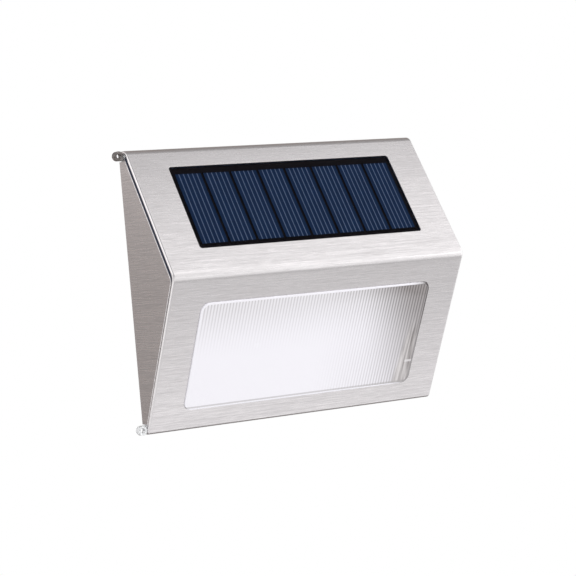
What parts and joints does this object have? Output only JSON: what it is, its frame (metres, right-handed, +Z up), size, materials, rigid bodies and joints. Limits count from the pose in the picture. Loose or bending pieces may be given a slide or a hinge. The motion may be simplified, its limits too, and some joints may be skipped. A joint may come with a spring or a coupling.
{
  "type": "solar fence light",
  "caption": "Wedge-shaped wall light of bent brushed steel: solar panel on the upper slope, ribbed lens on the lower one, two screw ears at the rear left corners and a slide switch in the back.",
  "frame": {"origin": "middle of the back face, in the plane of the wall", "axes": "+X along the wall, to the right as seen from the front; +Y into the wall; +Z up"},
  "size_m": [0.1152, 0.0297, 0.0914],
  "materials": {
    "steel": "brushed, with the grain along the width",
    "dark_plastic": "moulded",
    "clear_plastic": "clear moulded",
    "seal": "soft foam",
    "screw_steel": "plated",
    "black_board": "black lacquer",
    "solar_blue": "polished silicon with fine grid lines",
    "resin": "cast clear coat",
    "lead_red": "sleeve",
    "lens_clear": "clear, ribbed",
    "white_plastic": "bright white",
    "white_board": "white lacquer",
    "diode": "cast",
    "green_board": "green lacquer",
    "black_part": "moulded",
    "coil_dark": "pressed",
    "capacitor_sleeve": "shrunk sleeve",
    "cell_sleeve": "plain sleeve",
    "nickel": "plated",
    "door_plastic": "moulded"
  },
  "bodies": {
    "housing": {"cover_sheet": "steel", "left_cheek": "steel", "right_cheek": "steel", "inner_body": "dark_plastic", "back_plate": "clear_plastic", "back_seal": "seal", "back_screws": "screw_steel", "panel_board": "black_board", "solar_cells": "solar_blue", "panel_resin": "resin", "panel_tape": "seal", "panel_leads": "lead_red", "lens": "lens_clear", "lens_seal": "seal", "reflector": "white_plastic", "light_board": "white_board", "diodes": "diode", "light_leads": "lead_red", "control_board": "green_board", "driver_chip": "black_part", "storage_coil": "coil_dark", "capacitor": "capacitor_sleeve", "board_screws": "screw_steel", "battery_cell": "cell_sleeve", "battery_spring": "nickel", "battery_contact": "nickel", "battery_leads": "lead_red", "battery_door": "door_plastic", "door_seal": "seal", "door_screws": "screw_steel", "switch_body": "nickel"},
    "slider": {"switch_slider": "black_part"}
  },
  "joints": [
    {"name": "switch_slide", "type": "slide", "parent": "housing", "child": "slider", "axis": [1, 0, 0], "range_m": [0, 0.002]}
  ]
}
